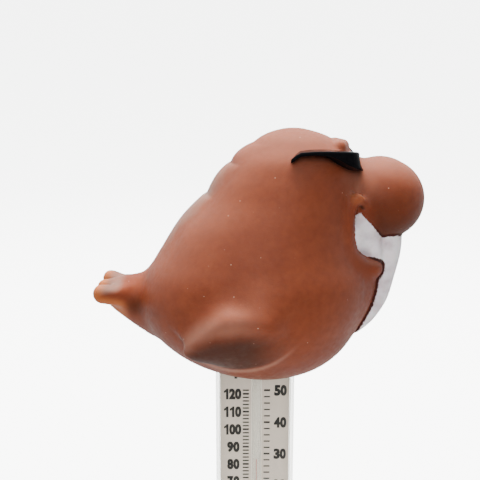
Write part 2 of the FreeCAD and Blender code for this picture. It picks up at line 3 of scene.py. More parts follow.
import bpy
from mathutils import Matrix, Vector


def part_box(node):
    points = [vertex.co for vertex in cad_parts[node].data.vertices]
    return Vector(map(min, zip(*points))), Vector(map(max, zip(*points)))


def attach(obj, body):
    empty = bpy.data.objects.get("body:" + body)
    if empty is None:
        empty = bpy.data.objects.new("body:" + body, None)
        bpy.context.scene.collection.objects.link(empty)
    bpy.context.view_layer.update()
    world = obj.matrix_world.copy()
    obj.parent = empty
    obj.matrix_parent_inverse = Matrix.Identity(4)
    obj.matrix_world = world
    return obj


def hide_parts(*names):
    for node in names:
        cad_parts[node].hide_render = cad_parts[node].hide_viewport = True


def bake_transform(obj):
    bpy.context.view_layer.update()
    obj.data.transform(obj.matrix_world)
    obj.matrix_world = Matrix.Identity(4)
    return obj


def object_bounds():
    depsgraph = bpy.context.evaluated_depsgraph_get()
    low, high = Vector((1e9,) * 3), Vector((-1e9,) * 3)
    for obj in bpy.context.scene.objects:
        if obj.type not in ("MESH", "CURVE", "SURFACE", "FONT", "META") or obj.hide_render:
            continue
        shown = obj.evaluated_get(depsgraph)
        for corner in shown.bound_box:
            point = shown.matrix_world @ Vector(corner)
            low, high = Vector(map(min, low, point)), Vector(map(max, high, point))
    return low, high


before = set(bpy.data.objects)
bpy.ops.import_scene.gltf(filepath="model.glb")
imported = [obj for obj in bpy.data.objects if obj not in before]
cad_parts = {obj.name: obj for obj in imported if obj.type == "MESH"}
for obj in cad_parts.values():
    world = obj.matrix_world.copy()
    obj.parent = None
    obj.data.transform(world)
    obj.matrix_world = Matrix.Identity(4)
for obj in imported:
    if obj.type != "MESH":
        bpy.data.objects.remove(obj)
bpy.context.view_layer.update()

import math

import bpy
import numpy as np
import openvdb
from mathutils import Vector

MM = 0.001
FIGURE_BASE = 100.0        # mm, height of the figure's own zero above the tether eye
SKIN_STEP = 0.5            # mm, grid step of the vinyl skin
SKIN_BOX = ((-54.0, -39.0, -1.0), (54.0, 1.0, 83.0))    # mm, near half of the skin's grid
GLASSES_STEP = 0.22        # mm, grid step of the sunglasses
GLASSES_BOX = ((6.0, -23.0, 64.0), (37.0, 0.5, 79.0))

# Body stations: height above the figure's base, centre along X, half length, half width (mm).
STATIONS = [
    (2.9, 2.6, 0.0, 0.0),
    (3.9, 2.8, 11.5, 11.2),
    (6.0, 2.5, 17.8, 17.0),
    (9.5, 1.3, 24.2, 23.0),
    (14.5, 0.1, 29.8, 28.0),
    (21.0, -1.0, 33.8, 32.0),
    (29.0, -0.4, 36.1, 33.9),
    (36.0, 1.1, 35.3, 33.6),
    (44.0, 2.1, 31.0, 31.0),
    (52.0, 4.1, 27.3, 27.6),
    (60.0, 7.6, 23.4, 24.0),
    (67.0, 10.3, 20.8, 21.0),
    (72.0, 11.9, 18.2, 18.2),
    (75.5, 12.1, 14.2, 14.4),
    (78.6, 11.8, 9.7, 9.8),
    (80.2, 11.4, 5.2, 5.2),
    (80.9, 11.4, 0.0, 0.0),
]

# Rolls of the back: top, bottom, how far each swells (mm) and how early it swells.
ROLLS = [(76.3, 70.4, 0.8, 0.7), (70.4, 60.6, 1.1, 0.7), (60.6, 40.0, 1.0, 0.45)]
FOLD_FADE = (2.0, 12.0)    # distance from the spine where the folds begin and end to fade

# Chains of round beads: X, Y, height above the figure's base, radius (mm), near side.
BROW = [(26.5, 0.0, 75.4, 2.1), (24.8, -6.0, 75.5, 2.0)]
MUZZLE_LOBE = [(39.1, -3.2, 59.6, 12.3)]
MUZZLE_BRIDGE = [(37.0, 0.0, 60.2, 11.3), (29.0, 0.0, 60.8, 10.2)]
CHEEK_EDGE = [
    (28.9, -14.4, 60.6, 0.9),
    (27.8, -14.8, 57.0, 0.5),
    (27.3, -15.0, 53.0, 0.5),
    (27.1, -15.0, 48.8, 0.6),
    (27.5, -14.9, 45.4, 0.8),
    (29.4, -14.3, 42.1, 1.2),
]
LIP_CORNER = [
    (29.2, -14.4, 42.0, 1.2),
    (32.2, -13.4, 40.6, 1.8),
    (34.7, -12.2, 39.9, 2.2),
    (35.9, -11.0, 39.5, 2.2),
]
CHEEK_KNOB = [
    (28.3, -14.7, 60.2, 0.9),
    (29.1, -14.6, 61.5, 1.3),
    (30.6, -14.2, 60.8, 1.0),
    (31.6, -13.4, 58.8, 0.7),
]
BELLY_EDGE = [
    (32.5, -8.2, 38.0, 3.0),
    (32.0, -8.0, 33.0, 3.0),
    (30.2, -7.8, 27.5, 2.8),
    (27.4, -7.4, 22.5, 2.2),
]
LOWER_LIP = [(34.8, -10.6, 39.4, 2.3), (36.6, -5.0, 39.2, 2.4), (37.2, 0.0, 39.2, 2.4)]
TUSK = [
    (40.0, -6.0, 52.0, 4.6),
    (40.15, -6.4, 44.5, 4.3),
    (39.6, -6.6, 36.3, 3.15),
    (38.1, -6.9, 29.6, 2.75),
    (35.7, -7.1, 24.0, 1.95),
    (33.3, -7.2, 20.4, 1.2),
    (31.2, -7.2, 17.9, 0.5),
]
GUM = [(33.2, -9.6, 56.0, 3.2), (34.6, -9.4, 49.0, 3.2), (35.6, -9.0, 42.0, 2.9)]
# Chains joined onto the brown body in this order, each with its fillet radius (mm).
FACE_PARTS = [
    (MUZZLE_BRIDGE, 5.0),
    (BELLY_EDGE, 6.0),
    (CHEEK_EDGE, 4.5),
    (LIP_CORNER, 3.0),
    (CHEEK_KNOB, 1.2),
    (LOWER_LIP, 1.6),
    (MUZZLE_LOBE, 1.8),
]
# Ellipsoid of the white inside the mouth, behind the tusk: centre and half sizes (mm).
TEETH_CENTRE = (27.2, 0.0, 49.5)
TEETH_HALF = (10.6, 15.4, 12.0)
TEETH_BOX = ((10.0, -22.0, 28.0), (48.0, 1.0, 66.0))
# Flipper: a tilted leaf; centre, half sizes along it, through it and up it (mm), lean and pitch.
FLIPPER_CENTRE = (-6.8, 31.0, 23.2)
FLIPPER_HALF = (15.0, 4.0, 10.8)
FLIPPER_LEAN = 37.0        # degrees, how far its upper edge leans outward
FLIPPER_PITCH = 8.0        # degrees, how far its front end is raised
FLIPPER_TIP = (-15.0, 1.0)    # mm along it, where the narrowing towards its tip ends and begins
TIP_DROP = 3.2             # mm, how far the tip hangs
TIP_NARROWING = 0.45       # share by which the tip is narrower
FLIPPER_MELT = 0.24        # mm that the leaf loses for each millimetre of its front part
FLIPPER_FILLET = (2.0, 6.0, 5.0)    # mm under the leaf, more above it, more at its front end
FLIPPER_BOX = ((-40.0, -39.0, -1.0), (34.0, -8.0, 60.0))
# Ridge of the flipper between the painted highlight on its upper edge and the painted shade on its underside:
# X and height (mm).
FLIPPER_RIDGE = ((-21.5, -17.0, -11.7, -4.9, 5.0), (20.6, 25.4, 28.8, 30.0, 29.0))
# Lower edge of the painted shade on the flipper's underside, a parabola along X.
KEEL_LOW = 12.5            # mm, height of its lowest point
KEEL_MIDDLE = -7.0         # mm, X of its lowest point
KEEL_BEND = 0.028          # mm of height for each square millimetre along X

# The tail, from the body backwards, and its fillets.
TAIL_STALK = [(-28.0, 0.0, 27.0, 8.0), (-35.0, 0.0, 27.6, 6.4), (-41.0, 0.0, 28.6, 4.4)]
TAIL_KEEL = [(-32.0, 0.0, 23.6, 7.0), (-38.0, 0.0, 25.6, 5.2), (-44.0, 0.0, 28.2, 3.0)]
TAIL_LOBE = [(-38.0, -3.5, 28.9, 4.4), (-47.1, -8.8, 30.8, 3.1)]
TAIL_WEB = [(-40.0, 0.0, 29.6, 3.6), (-48.0, 0.0, 30.5, 2.4)]
TAIL_PARTS = [(TAIL_STALK, 4.5), (TAIL_KEEL, 7.0), (TAIL_LOBE, 2.5), (TAIL_WEB, 2.0)]
# Upper face of the tail: its height (mm), then from which X and how steeply it rises, ahead and behind.
TAIL_FACE = 32.6
TAIL_FACE_AHEAD = (-43.0, 0.30)
TAIL_FACE_BEHIND = (-43.5, 0.35)

# Opening in the underside for the socket cup's flange.
OPENING_GAP = 0.15         # mm all round the flange
OPENING_DEPTH = 1.25       # mm above the flange's lower face
OPENING_CORNER = 6.5       # mm, corner radius
OPENING_BOX = ((-24.0, -16.0, -1.0), (24.0, 16.0, 12.0))

# Spots of painted shade, painted highlight and painted glow: X, distance from the middle plane and height
# above the figure's base (mm).
MUZZLE_SHADE = (38.5, 3.2, 57.5)
MUZZLE_HOLLOW_HIGHLIGHT = (30.5, 12.0, 66.5)
CHEEK_POCKET_SHADE = (30.6, 14.2, 58.3)
CHEEK_GLOW = (29.4, 15.5, 62.0)
TAIL_DENT_SHADE = (-36.6, 5.0, 26.6)
SEAM_ON_WHITE = 0.85       # share of the dark seam line that lies on the white side

# Sunglasses band: angle round the head from the front (degrees), bottom and top height (mm).
BAND_CENTRE = 12.4
BAND_EDGES = [
    (0.0, 71.5, 73.4),
    (5.0, 70.6, 73.5),
    (10.0, 69.0, 73.7),
    (24.0, 68.8, 74.2),
    (36.0, 69.2, 74.7),
    (42.0, 69.7, 75.0),
    (48.0, 70.5, 75.2),
    (54.0, 71.5, 75.4),
    (60.0, 72.9, 75.5),
    (66.0, 74.0, 75.6),
    (78.0, 74.5, 75.6),
    (90.0, 74.2, 75.3),
    (94.0, 73.4, 74.6),
    (99.0, 72.0, 73.2),
]
BAND_FRONT = 17.7          # mm, reach of the band ahead of its centre at BAND_LEVEL
BAND_LEVEL = 74.6          # mm, height where that reach holds
BAND_RAKE = 0.27           # mm more reach for each millimetre below BAND_LEVEL
BAND_SIDE = 20.3           # mm, reach of the arms to each side
BAND_SQUARE = 5.0          # exponent of the front's squared-off outline
BAND_END = 98.5            # degrees from the front where each arm ends
BAND_ROUND = 0.55          # mm, rounding of the band's edges
LENS_MIDDLE = 25.0         # degrees from the front to the middle of each lens
LENS_HALF = 15.0           # degrees from there to its sides
LENS_RIM = 0.9             # mm of frame above and below each lens
LENS_SINK = 0.3            # mm, how far each lens lies below its frame


# ---- signed distances on a grid ----


def grid(low, high, step):
    """Open coordinate arrays in millimetres that cover low to high."""
    axes = [np.arange(a, b + step, step, dtype=np.float32) for a, b in zip(low, high)]
    return np.ix_(*axes)


def curve(heights, values, at):
    """Smooth curve through (height, value) points."""
    heights = np.asarray(heights, np.float32)
    values = np.asarray(values, np.float32)
    slopes = np.gradient(values, heights)
    index = np.clip(np.searchsorted(heights, at) - 1, 0, len(heights) - 2)
    span = heights[index + 1] - heights[index]
    t = (at - heights[index]) / span
    keep = (1 + 2 * t) * (1 - t) ** 2 * values[index] + t * (1 - t) ** 2 * span * slopes[index]
    gain = t * t * (3 - 2 * t) * values[index + 1] + t * t * (t - 1) * span * slopes[index + 1]
    return keep + gain


def smooth_step(low, high, value):
    t = np.clip((value - low) / (high - low), 0, 1)
    return t * t * (3 - 2 * t)


def join(first, second, radius):
    """Union of two distances, with a fillet."""
    mix = np.clip(0.5 + 0.5 * (second - first) / radius, 0, 1)
    return second + (first - second) * mix - radius * mix * (1 - mix)


def meet(first, second, radius):
    """Intersection of two distances, with a rounded edge."""
    return -join(-first, -second, radius)


def chain(x, y, z, beads):
    """Distance to a chain of round beads joined by cones."""
    if len(beads) == 1:
        bx, by, bz, radius = beads[0]
        return np.sqrt((x - bx) ** 2 + (y - by) ** 2 + (z - bz) ** 2) - radius
    nearest = None
    for a, b in zip(beads, beads[1:]):
        way = np.subtract(b[:3], a[:3]).astype(np.float32)
        along = ((x - a[0]) * way[0] + (y - a[1]) * way[1] + (z - a[2]) * way[2]) / float(way @ way)
        along = np.clip(along, 0, 1)
        offset = (x - a[0] - along * way[0]) ** 2 + (y - a[1] - along * way[1]) ** 2
        offset = np.sqrt(offset + (z - a[2] - along * way[2]) ** 2)
        distance = offset - (a[3] + (b[3] - a[3]) * along)
        nearest = distance if nearest is None else np.minimum(nearest, distance)
    return nearest


def egg(x, y, z, centre, half_sizes):
    """Distance to an ellipsoid, close to true near its surface."""
    scaled = [(p - c) / h for p, c, h in zip((x, y, z), centre, half_sizes)]
    reach = np.sqrt(scaled[0] ** 2 + scaled[1] ** 2 + scaled[2] ** 2)
    slope = np.sqrt(sum((s / h) ** 2 for s, h in zip(scaled, half_sizes)))
    return reach * (reach - 1) / np.maximum(slope, 1e-6)


def fold_swell(x, y, z, centre):
    """How far the back's rolls stand out, in millimetres."""
    swell = np.zeros_like(z)
    for top, bottom, amount, early in ROLLS:
        t = np.clip((top - z) / (top - bottom), 0, 1)
        swell = swell + np.clip(np.sin(np.pi * t ** early), 0, 1) ** 0.75 * amount
    across = 1 - smooth_step(FOLD_FADE[0], FOLD_FADE[1], np.abs(y))
    behind = smooth_step(0.0, 6.0, centre - x)
    return swell * across * behind


def trunk(x, y, z):
    """Distance to the plain body with its back folds."""
    heights = [s[0] for s in STATIONS]
    fine = np.arange(-4, 86, 0.1, dtype=np.float32)
    inside = np.clip(fine, heights[0], heights[-1])
    centres = curve(heights, [s[1] for s in STATIONS], inside)
    squares = curve(heights, [s[2] ** 2 for s in STATIONS], inside)
    # Beyond the first and last station the square falls below zero, so that nothing is there.
    squares = squares - np.abs(fine - inside) * 60.0
    ratios = curve(heights[1:-1], [(s[2] / s[3]) for s in STATIONS[1:-1]],
                   np.clip(fine, heights[1], heights[-2]))
    centre, square, ratio = (np.interp(z, fine, v).astype(np.float32) for v in (centres, squares, ratios))
    lean, taper = (np.interp(z, fine, np.gradient(v, fine)).astype(np.float32) for v in (centres, squares))
    level = (x - centre) ** 2 + (ratio * y) ** 2 - square
    rise = -2 * (x - centre) * lean - taper
    slope = np.sqrt((2 * (x - centre)) ** 2 + (2 * ratio * ratio * y) ** 2 + rise ** 2)
    return level / np.maximum(slope, 4.0) - fold_swell(x, y, z, centre)


def on_box(target, low, high, step, origin, change):
    """Apply change(x, y, z, part) to the part of target between two corners."""
    cuts = []
    for axis in range(3):
        first = max(0, int((low[axis] - origin[axis]) / step))
        last = min(target.shape[axis], int((high[axis] - origin[axis]) / step) + 2)
        cuts.append(slice(first, last))
    axes = [origin[a] + step * np.arange(cuts[a].start, cuts[a].stop, dtype=np.float32) for a in range(3)]
    x, y, z = np.ix_(*axes)
    target[tuple(cuts)] = change(x, y, z, target[tuple(cuts)])


def reach_of(beads, margin):
    """Corners of the box round a chain of beads."""
    low = [min(b[a] - b[3] for b in beads) - margin for a in range(3)]
    high = [max(b[a] + b[3] for b in beads) + margin for a in range(3)]
    return low, high


def rounded_chain(beads, parts=5):
    """The beads with more between them, on a smooth curve through the ones given."""
    if len(beads) < 3:
        return beads
    knots = np.arange(len(beads))
    fine = np.linspace(0, len(beads) - 1, parts * (len(beads) - 1) + 1)
    columns = [curve(knots, [bead[axis] for bead in beads], fine) for axis in range(4)]
    return [tuple(float(value) for value in bead) for bead in np.stack(columns, axis=1)]


def add_chain(target, beads, radius, step, origin, cap=None):
    """Join a chain of beads onto target; cap, if given, cuts the chain first."""
    beads = rounded_chain(beads)
    low, high = reach_of(beads, radius + 3)

    def change(x, y, z, part):
        shape = chain(x, y, z, beads)
        if cap is not None:
            shape = meet(shape, cap(x, y, z), 1.5)
        return join(part, shape, radius)

    on_box(target, low, high, step, origin, change)


def skin_distances():
    """Distances of the brown skin and of the white mouth and tusks, near half only."""
    low, high = SKIN_BOX
    step = SKIN_STEP
    x, y, z = grid(low, high, step)
    brown = trunk(x, y, z).astype(np.float32)
    add_chain(brown, BROW, 1.6, step, low)
    for beads, fillet in TAIL_PARTS:
        add_chain(brown, beads, fillet, step, low, tail_top)
    on_box(brown, *FLIPPER_BOX, step, low, add_flipper)
    for beads, fillet in FACE_PARTS:
        add_chain(brown, beads, fillet, step, low)
    white = np.full(brown.shape, 30.0, np.float32)
    on_box(white, *TEETH_BOX, step, low, put_teeth)
    add_chain(white, GUM, 2.0, step, low)
    add_chain(white, TUSK, 1.0, step, low)
    return brown, white, low, step


def put_teeth(x, y, z, part):
    """Distance to the white inside the mouth, in place of what part holds."""
    return egg(x, y, z, TEETH_CENTRE, TEETH_HALF).astype(np.float32)


def tail_top(x, y, z):
    """Distance above the tail's upper face, which rises to the back and to the lobes' tips."""
    ahead = TAIL_FACE_AHEAD[1] * np.maximum(x - TAIL_FACE_AHEAD[0], 0)
    behind = TAIL_FACE_BEHIND[1] * np.maximum(TAIL_FACE_BEHIND[0] - x, 0)
    return (z - TAIL_FACE - ahead - behind) * 0.96


def add_flipper(x, y, z, part):
    """Join the near flipper, a thick leaf that lies on the flank."""
    lean = math.radians(FLIPPER_LEAN)
    pitch = math.radians(FLIPPER_PITCH)
    ahead = x - FLIPPER_CENTRE[0]
    out = -y - FLIPPER_CENTRE[1]
    up = z - FLIPPER_CENTRE[2]
    through = out * math.cos(lean) - up * math.sin(lean)
    rise = up * math.cos(lean) + out * math.sin(lean)
    along = ahead * math.cos(pitch) + rise * math.sin(pitch)
    rise = rise * math.cos(pitch) - ahead * math.sin(pitch)
    tip = 1 - smooth_step(*FLIPPER_TIP, along)
    rise = (rise + TIP_DROP * tip) / (1 - TIP_NARROWING * tip)
    leaf = egg(along, through, rise, (0.0, 0.0, 0.0), FLIPPER_HALF)
    under, above, front = FLIPPER_FILLET
    fillet = under + above * smooth_step(0.0, 9.0, rise) + front * smooth_step(1.0, 12.0, along)
    return join(part, leaf + FLIPPER_MELT * np.maximum(along - FLIPPER_TIP[1], 0), fillet)


# ---- meshes ----


def mirrored(field, low, step):
    """Whole grid from its near half, up to the layer that lies on the middle plane."""
    last = int(round(-low[1] / step)) + 1
    half = field[:, :last, :]
    return np.concatenate([half, half[:, ::-1, :][:, 1:, :]], axis=1)


def add_mesh(name, points, faces, smooth=True):
    """New mesh object from points in metres."""
    mesh = bpy.data.meshes.new(name)
    mesh.from_pydata(points, [], faces)
    if smooth:
        mesh.shade_smooth()
    mesh.update()
    obj = bpy.data.objects.new(name, mesh)
    bpy.context.collection.objects.link(obj)
    return obj


def surface(field, origin, step, name):
    """Mesh object of the zero level of a distance grid in figure millimetres."""
    volume = openvdb.FloatGrid(6.0)
    volume.copyFromArray(np.ascontiguousarray(field, dtype=np.float64))
    volume.transform = openvdb.createLinearTransform(voxelSize=1.0)
    points, triangles, quads = volume.convertToPolygons(isovalue=0.0, adaptivity=0.0)
    places = points * step + np.array(origin)
    faces = triangles.tolist() + quads.tolist()
    lifted = (places + np.array([0, 0, FIGURE_BASE])) * MM
    return add_mesh(name, lifted.tolist(), faces), places


def sample(field, origin, step, places):
    """Trilinear values of a grid at places."""
    spots = (places - np.array(origin)) / step
    low = np.clip(np.floor(spots).astype(int), 0, np.array(field.shape) - 2)
    part = spots - low
    total = 0
    for corner in np.ndindex(2, 2, 2):
        weight = np.prod([part[:, a] if corner[a] else 1 - part[:, a] for a in range(3)], axis=0)
        total = total + weight * field[low[:, 0] + corner[0], low[:, 1] + corner[1], low[:, 2] + corner[2]]
    return total


def keep_values(obj, name, values):
    """Store one number for each point of a mesh under a name that a material can read."""
    attribute = obj.data.attributes.new(name, "FLOAT", "POINT")
    attribute.data.foreach_set("value", np.asarray(values, np.float32))


def cut_opening(field, low, step):
    """Open the underside where the socket cup's flange sits."""
    flange_low, flange_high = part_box("socket_cup")
    half_length = flange_high.x / MM + OPENING_GAP - OPENING_CORNER
    half_width = flange_high.y / MM + OPENING_GAP - OPENING_CORNER
    roof = flange_low.z / MM - FIGURE_BASE + OPENING_DEPTH

    def change(x, y, z, part):
        across = np.maximum(np.abs(x) - half_length, 0)
        along = np.maximum(np.abs(y) - half_width, 0)
        slot = np.sqrt(across ** 2 + along ** 2) - OPENING_CORNER
        slot = np.maximum(slot, z - roof)
        return np.maximum(part, -slot)

    on_box(field, *OPENING_BOX, step, low, change)


def make_skin():
    """The walrus's outer skin, with its paint masks stored on the points, painted highlight, painted shade
    and painted glow among them.
    """
    brown, white, low, step = skin_distances()
    brown = mirrored(brown, low, step)
    white = mirrored(white, low, step)
    whole = join(brown, white, 0.35)
    cut_opening(whole, low, step)
    skin, places = surface(whole, low, step, "walrus_skin")
    width = seam_width(places)
    over = sample(brown, low, step, places) - sample(white, low, step, places)
    keep_values(skin, "white_over_brown", over - SEAM_ON_WHITE * width)
    keep_values(skin, "grey_spray", grey_spray(places))
    # The next three masks are painted light: painted highlight, painted shade and the painted glow of light
    # through thin vinyl.
    keep_values(skin, "pale_spray", pale_spray(skin, places))
    keep_values(skin, "dark_spray", dark_spray(places))
    keep_values(skin, "orange_glow", orange_glow(places))
    keep_values(skin, "seam_width", width)
    return skin


def near_spot(places, spot, full, none):
    """1 within full millimetres of a painted spot on either side, fading to 0 at none millimetres."""
    x, y, z = places.T
    gap = np.sqrt((x - spot[0]) ** 2 + (np.abs(y) - spot[1]) ** 2 + (z - spot[2]) ** 2)
    return smooth_step(none, full, gap)


def grey_spray(places):
    """Strength of the grey airbrushing along the spine and on top of the tail."""
    x, y, z = places.T
    spine = 0.9 * (1 - smooth_step(0.0, 16.0, np.abs(y)))
    spine = spine * smooth_step(30.0, 56.0, z) * (1 - smooth_step(62.0, 80.0, z))
    spine = spine * smooth_step(2.0, 12.0, 6.0 - x)
    tail = 0.7 * smooth_step(-39.0, -44.0, x) * smooth_step(30.0, 32.5, z)
    return np.clip(np.maximum(spine, tail), 0, 1)


def keel_height(x):
    """Height of the lower edge of the painted shade on the flipper's underside."""
    return KEEL_LOW + KEEL_BEND * (x - KEEL_MIDDLE) ** 2


def pale_spray(skin, places):
    """Strength of the painted highlight: on whatever faces up, on the flipper's upper band and its lower rim,
    and in the hollow behind the muzzle.
    """
    x, y, z = places.T
    normals = np.empty(3 * len(places), dtype=np.float32)
    skin.data.vertex_normals.foreach_get("vector", normals)
    # Painted highlight where the skin faces up, as though lit from above.
    top = 0.22 * smooth_step(0.25, 0.9, normals[2::3]) * smooth_step(-38.0, -30.0, x)
    ridge = np.interp(x, FLIPPER_RIDGE[0], FLIPPER_RIDGE[1])
    # Painted highlight along the flipper's lit upper band.
    leaf = 0.36 * smooth_step(-4.5, -0.5, z - ridge) * smooth_step(5.5, 0.8, z - ridge)
    leaf = leaf * smooth_step(26.0, 31.0, np.abs(y)) * smooth_step(5.0, -8.0, x)
    # Painted light in the hollow behind the muzzle, where shade falls.
    hollow = 0.28 * near_spot(places, MUZZLE_HOLLOW_HIGHLIGHT, 1.0, 9.5)
    # Painted highlight along the flipper's lower rim.
    rim = 0.5 * smooth_step(1.5, 0.1, np.abs(z - keel_height(x) + 0.4)) * smooth_step(18.0, 23.0, np.abs(y))
    rim = rim * smooth_step(-20.0, -15.0, x) * smooth_step(14.0, 2.0, x)
    return np.maximum(np.maximum(top, rim), np.maximum(leaf, hollow))


def dark_spray(places):
    """Strength of the painted shade: on the muzzle, under the flippers and sunglasses, in the cheek's pocket
    and in the tail's hollow.
    """
    x, y, z = places.T
    # Painted shade darkening the muzzle's front.
    muzzle = 0.75 * near_spot(places, MUZZLE_SHADE, 11.0, 14.0) * smooth_step(31.0, 37.0, x)
    ridge = np.interp(x, FLIPPER_RIDGE[0], FLIPPER_RIDGE[1])
    # Painted shade on the flipper's underside.
    leaf = smooth_step(0.0, 6.5, ridge - z) * smooth_step(0.0, 1.6, z - keel_height(x))
    leaf = leaf * smooth_step(12.0, -4.0, x) * smooth_step(18.0, 23.0, np.abs(y))
    angle = np.degrees(np.arctan2(np.abs(y), x - BAND_CENTRE))
    bottom, top = band_limits(angle)
    # Painted shadow under the sunglasses.
    shadow = 0.7 * smooth_step(1.1, 0.2, bottom - z) * smooth_step(0.1, -0.6, z - top)
    shadow = shadow * smooth_step(102.0, 94.0, angle) * smooth_step(31.5, 29.0, x)
    # Painted shade in the tail's hollow and in the cheek's pocket.
    dent = 0.6 * (x - TAIL_DENT_SHADE[0]) ** 2 + 0.3 * (np.abs(y) - TAIL_DENT_SHADE[1]) ** 2 + (z - TAIL_DENT_SHADE[2]) ** 2
    dent = 0.85 * smooth_step(5.0, 1.0, np.sqrt(dent))
    hollows = np.maximum(dent, near_spot(places, CHEEK_POCKET_SHADE, 0.5, 1.6))
    total = np.maximum(np.maximum(muzzle, leaf), np.maximum(shadow, hollows))
    return np.clip(total, 0, 1)


def orange_glow(places):
    """Strength of the painted glow, orange as of light through thin vinyl, on the tail's underside and tip
    and on the cheek knob.
    """
    x, _, z = places.T
    # Painted glow of light through the thin tail's underside and tip.
    under = smooth_step(31.0, 28.0, z + 0.35 * (x + 44.0)) * smooth_step(-38.5, -42.5, x)
    # Painted glow on the cheek knob.
    knob = 0.3 * near_spot(places, CHEEK_GLOW, 1.2, 3.0)
    return 0.8 * np.maximum(np.maximum(under, knob), smooth_step(-45.5, -49.0, x))


def seam_width(places):
    """Width of the dark line where white meets brown: wide by the tusks, almost none by the cheek."""
    x, _, z = places.T
    tusk = smooth_step(32.5, 35.5, x + 0.5 * np.maximum(38.0 - z, 0))
    belly = smooth_step(45.0, 42.0, z)
    muzzle = smooth_step(33.5, 37.0, x) * smooth_step(44.0, 46.5, z)
    return np.maximum(tusk * (0.25 + 0.6 * belly), 0.5 * muzzle)


def band_limits(angle):
    """Bottom and top of the sunglasses at an angle round the head."""
    angles = [e[0] for e in BAND_EDGES]
    bottom = np.interp(angle, angles, [e[1] for e in BAND_EDGES])
    top = np.interp(angle, angles, [e[2] for e in BAND_EDGES])
    return bottom, top


def lens_mask(angle, z, bottom, top):
    """Distance inside one lens's outline, measured on the band."""
    across = (np.abs(angle - LENS_MIDDLE) / LENS_HALF) ** 4
    middle = (bottom + top) / 2
    half = np.maximum((top - bottom) / 2 - LENS_RIM, 0.1)
    return (across + (np.abs(z - middle) / half) ** 4) ** 0.25 - 1


def band_surface(x, y, z):
    """Distance outside the sunglasses' outer surface, squared off at the front."""
    reach = BAND_FRONT + BAND_RAKE * (BAND_LEVEL - z)
    ahead = np.maximum(x - BAND_CENTRE, 0) / reach
    behind = np.maximum(BAND_CENTRE - x, 0) / BAND_SIDE
    side = np.abs(y) / BAND_SIDE
    front = (ahead ** BAND_SQUARE + side ** BAND_SQUARE) ** (1 / BAND_SQUARE)
    back = np.sqrt(behind ** 2 + side ** 2)
    return (np.where(x > BAND_CENTRE, front, back) - 1) * BAND_SIDE * 0.95


def make_sunglasses():
    """Band that wraps the head, thicker where it holds the two sunk lenses."""
    low, high = GLASSES_BOX
    step = GLASSES_STEP
    x, y, z = grid(low, high, step)
    head = trunk(x, y, z)
    angle = np.abs(np.degrees(np.arctan2(-y, x - BAND_CENTRE)))
    bottom, top = band_limits(angle)
    sink = LENS_SINK * smooth_step(0.12, -0.05, lens_mask(angle, z, bottom, top))
    layer = np.maximum(band_surface(x, y, z) + sink, -(head + 0.5))
    edge = np.abs(z - (bottom + top) / 2) - (top - bottom) / 2
    edge = np.maximum(edge, (angle - BAND_END) * 0.3)
    band = meet(layer, edge, BAND_ROUND).astype(np.float32)
    glasses, _ = surface(mirrored(band, low, step), low, step, "black_sunglasses")
    return glasses


# ---- printed scale ----

SCALE_ZERO = 37.0          # mm above the eye, 0 degrees Celsius
SCALE_STEP = 1.15          # mm for one degree Celsius
INK_PROUD = 0.02           # mm in front of the card
GLASS_AXIS = 0.6           # mm, capillary's place along X
GLASS_RADIUS = 1.5         # mm, outside of the capillary
SPIRIT_RADIUS = 0.17       # mm, red column as it shows in the bore
FIGURE_HEIGHT = 3.66       # mm, one printed figure
FIGURE_WIDTH = 1.9         # mm, the same
FIGURE_PITCH = 2.08        # mm from one figure to the next in a two-figure number
CLOSE_PITCH = 1.97         # mm from one figure to the next in a three-figure number
FIGURE_DROP = 0.06         # mm, how far the figures sit below their ticks
BOLD = 0.1                 # mm, how far the figures' strokes are thickened each way
FAHRENHEIT_LEFT = -10.4    # mm, left-hand edge of three Fahrenheit figures
TWO_FIGURE_INDENT = 1.25   # mm, how much further right two Fahrenheit figures start
CELSIUS_LEFT = 6.55        # mm, left-hand edge of the Celsius figures
HEADER_LIFT = 5.9          # mm, unit signs above the 50 degree mark
HEADER_WIDTH = 3.5         # mm, one unit sign
HEADER_HEIGHT = 3.4        # mm, the same
HEADERS = (("fahrenheit_sign", "°F", -8.3), ("celsius_sign", "°C", 6.1))    # name, sign, left-hand edge
# Outline of the figure 1 in a box from 0 to 1: a stem with a flag.
FIGURE_ONE = [(0.5, 0), (0.82, 0), (0.82, 1), (0.6, 1), (0.42, 0.87), (0.12, 0.77), (0.12, 0.62), (0.5, 0.75)]
MAJOR_TICK = 0.70          # mm, thickness of the ten-degree ticks
MINOR_TICK = 0.50          # mm, thickness of the others
FAHRENHEIT_TICK = (-4.0, -1.9)    # mm, from and to along X
CELSIUS_TICK = (3.05, 5.1)        # mm, from and to along X
STRIPE_HALF = 1.75         # mm, half width of the white stripe
STRIPE_INSET = 1.0         # mm from the card's top to the stripe
NOTCH_TOP = SCALE_ZERO - 2.0    # mm above the eye, where the card's notch for the bulb ends
# Points of the glass: height above the bulb's foot (mm), share of the bulb's radius, share of the stem's.
GLASS_SHOULDER = ((12.2, 1.0, 0.0), (12.9, 0.93, 0.0), (13.8, 0.0, 1.08), (14.4, 0.0, 1.0))
THREAD_RINGS = 120         # slices of the spirit column, so that it stretches evenly


def level_of(celsius):
    """Height above the eye of a temperature."""
    return SCALE_ZERO + SCALE_STEP * celsius


def to_celsius(fahrenheit):
    return (fahrenheit - 32) / 1.8


def flat_quads(name, rectangles, depth):
    """Thin ink: one upright rectangle for each (left, right, bottom, top), in millimetres."""
    corners = []
    faces = []
    for left, right, bottom, top in rectangles:
        first = len(corners)
        for across, up in ((left, bottom), (right, bottom), (right, top), (left, top)):
            corners.append((across * MM, depth * MM, up * MM))
        faces.append(tuple(range(first, first + 4)))
    return add_mesh(name, corners, faces, smooth=False)


